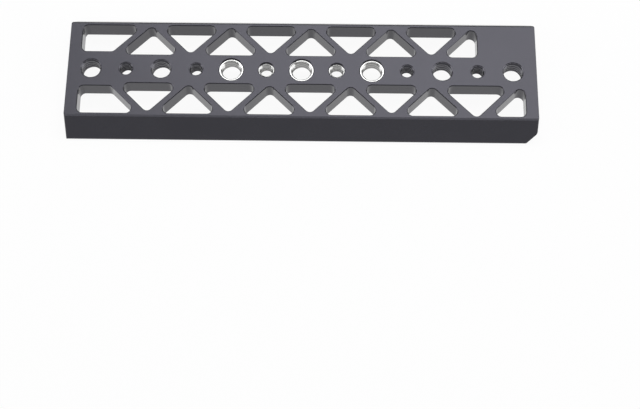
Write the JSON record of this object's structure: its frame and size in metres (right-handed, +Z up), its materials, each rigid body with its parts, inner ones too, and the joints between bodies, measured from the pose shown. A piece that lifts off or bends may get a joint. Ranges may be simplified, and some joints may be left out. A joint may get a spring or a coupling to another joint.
{
  "type": "dovetail baseplate",
  "caption": "Lightened black camera dovetail plate with 60 degree flanks, a trussed lattice of triangular openings and a centre row of large and small tapped holes, five with steel inserts.",
  "frame": {"origin": "centre of the footprint, on the surface that the wide face rests on", "axes": "+X along the plate towards the end with the lead-in ramp, +Y across the plate to the row of cells that ends in the solid pad, +Z up out of the narrow face"},
  "size_m": [0.2, 0.0566, 0.011],
  "materials": {
    "anodised_aluminium": "fine matt black anodising",
    "insert_steel": "bright turned stainless steel"
  },
  "bodies": {
    "root": {"dovetail_plate": "anodised_aluminium", "large_thread_insert_left": "insert_steel", "large_thread_insert_centre": "insert_steel", "large_thread_insert_right": "insert_steel", "small_thread_insert_left": "insert_steel", "small_thread_insert_right": "insert_steel"}
  },
  "joints": []
}
